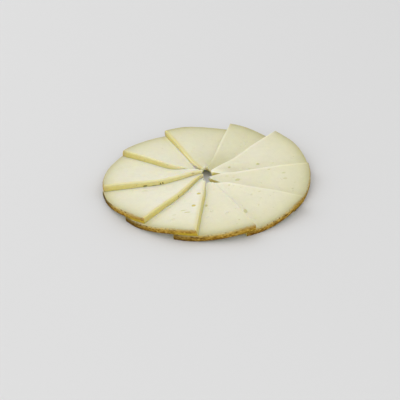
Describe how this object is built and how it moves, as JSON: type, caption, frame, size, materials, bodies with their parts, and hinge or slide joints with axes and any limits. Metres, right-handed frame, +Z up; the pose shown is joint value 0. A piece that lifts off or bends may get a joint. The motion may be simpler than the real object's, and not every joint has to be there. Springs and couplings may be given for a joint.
{
  "type": "aged sheep cheese",
  "caption": "Thin eighth-round slices of an aged sheep cheese, pale paste with a brown rind, laid overlapping as a round fan.",
  "frame": {"origin": "on the surface that the cheese lies on, under the middle of the fan's bounding box", "axes": "+Z up, -Y towards the near side of the fan, where the brown rind shows"},
  "size_m": [0.2192, 0.2198, 0.0175],
  "materials": {
    "cheese": "pale ivory cheese paste, satin and slightly translucent, straw yellow on the cut sides, matte golden-brown rind round the rim"
  },
  "bodies": {
    "root": {"slice_a": "cheese", "slice_b": "cheese", "slice_c": "cheese", "slice_d": "cheese", "slice_e": "cheese", "slice_f": "cheese", "slice_g": "cheese", "slice_h": "cheese", "slice_i": "cheese", "slice_j": "cheese"}
  },
  "joints": []
}
